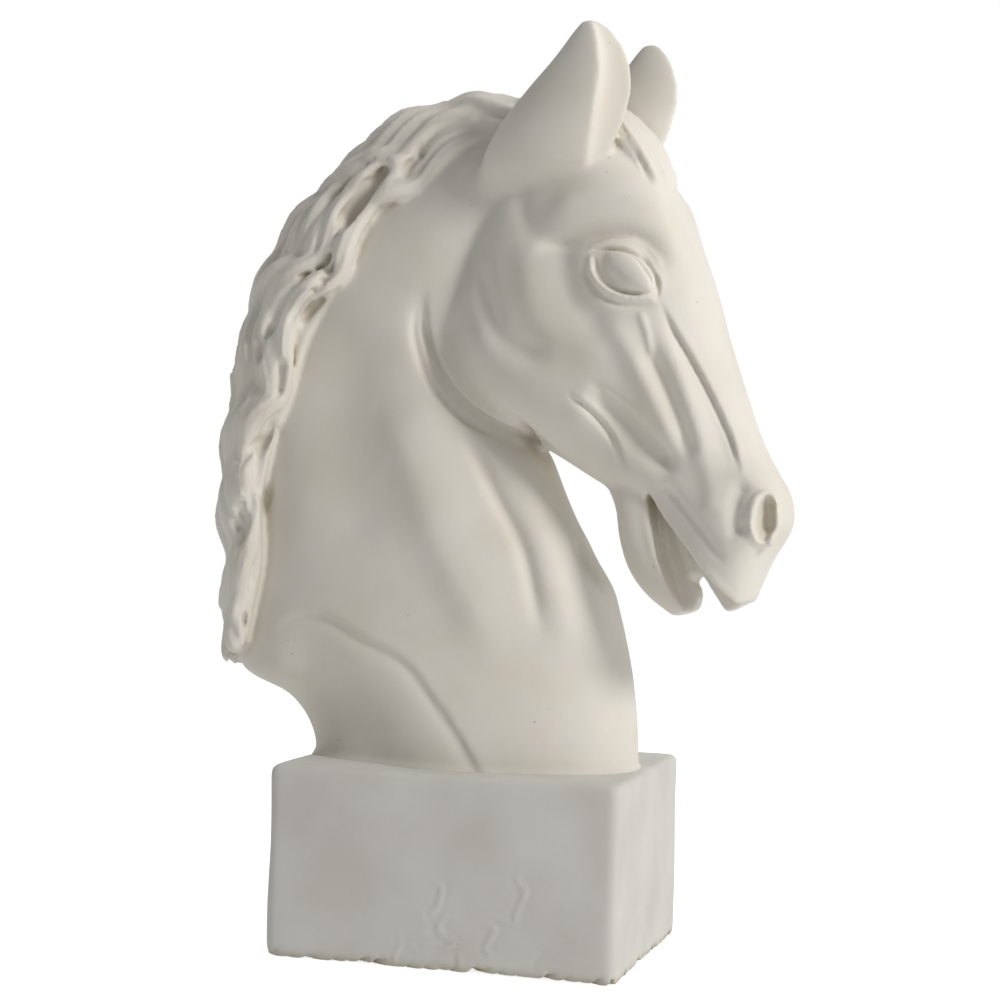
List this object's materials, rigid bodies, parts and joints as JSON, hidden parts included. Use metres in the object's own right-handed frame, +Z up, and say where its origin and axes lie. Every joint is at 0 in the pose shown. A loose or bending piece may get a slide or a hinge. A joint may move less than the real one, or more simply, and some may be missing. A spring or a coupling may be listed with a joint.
{
  "type": "giant chess knight",
  "caption": "Horse's head and neck bust, cast hollow in halves and bolted to a hollow rectangular plinth, with a screwed ballast plug underneath.",
  "frame": {"origin": "middle of the bounding box, on the ground plane that the rubber feet stand on", "axes": "+X the way the neck faces, +Y the horse's left side, +Z up; the head is turned 12 degrees to its right, towards -Y"},
  "size_m": [0.3896, 0.1759, 0.5823],
  "materials": {
    "cast_plaster": "cast gypsum plaster, matt, sealed and lightly weathered",
    "beech": "planed",
    "plywood": "sawn and sanded",
    "zinc_steel": "zinc plated",
    "foot_rubber": "moulded",
    "polyethylene": "moulded, satin"
  },
  "bodies": {
    "statue": {"plinth_shell": "cast_plaster", "bust_left_half": "cast_plaster", "bust_right_half": "cast_plaster", "left_ear": "cast_plaster", "right_ear": "cast_plaster", "lower_jaw": "cast_plaster", "mane": "cast_plaster", "left_ear_peg": "beech", "right_ear_peg": "beech", "anchor_board": "plywood", "base_plate": "plywood", "bust_bolt_1": "zinc_steel", "bust_bolt_2": "zinc_steel", "bust_washer_1": "zinc_steel", "bust_washer_2": "zinc_steel", "tee_nut_1": "zinc_steel", "tee_nut_2": "zinc_steel", "base_plate_screw_1": "zinc_steel", "base_plate_screw_2": "zinc_steel", "base_plate_screw_3": "zinc_steel", "base_plate_screw_4": "zinc_steel", "foot_1": "foot_rubber", "foot_2": "foot_rubber", "foot_3": "foot_rubber", "foot_4": "foot_rubber", "filler_bush": "polyethylene"},
    "plug_carrier": {"plug_seal_ring": "foot_rubber"},
    "plug": {"filler_plug": "polyethylene"}
  },
  "joints": [
    {"name": "plug_travel", "type": "slide", "parent": "statue", "child": "plug_carrier", "axis": [0, 0, -1], "range_m": [0, 0.0106]},
    {"name": "plug_turn", "type": "hinge", "parent": "plug_carrier", "child": "plug", "pos_m": [-0.0094, 0, 0.003], "axis": [0, 0, -1], "range_deg": [0, 630]}
  ],
  "couplings": [
    {"joint": "plug_travel", "follows": "plug_turn", "m_per_rad": 0.00095493}
  ]
}
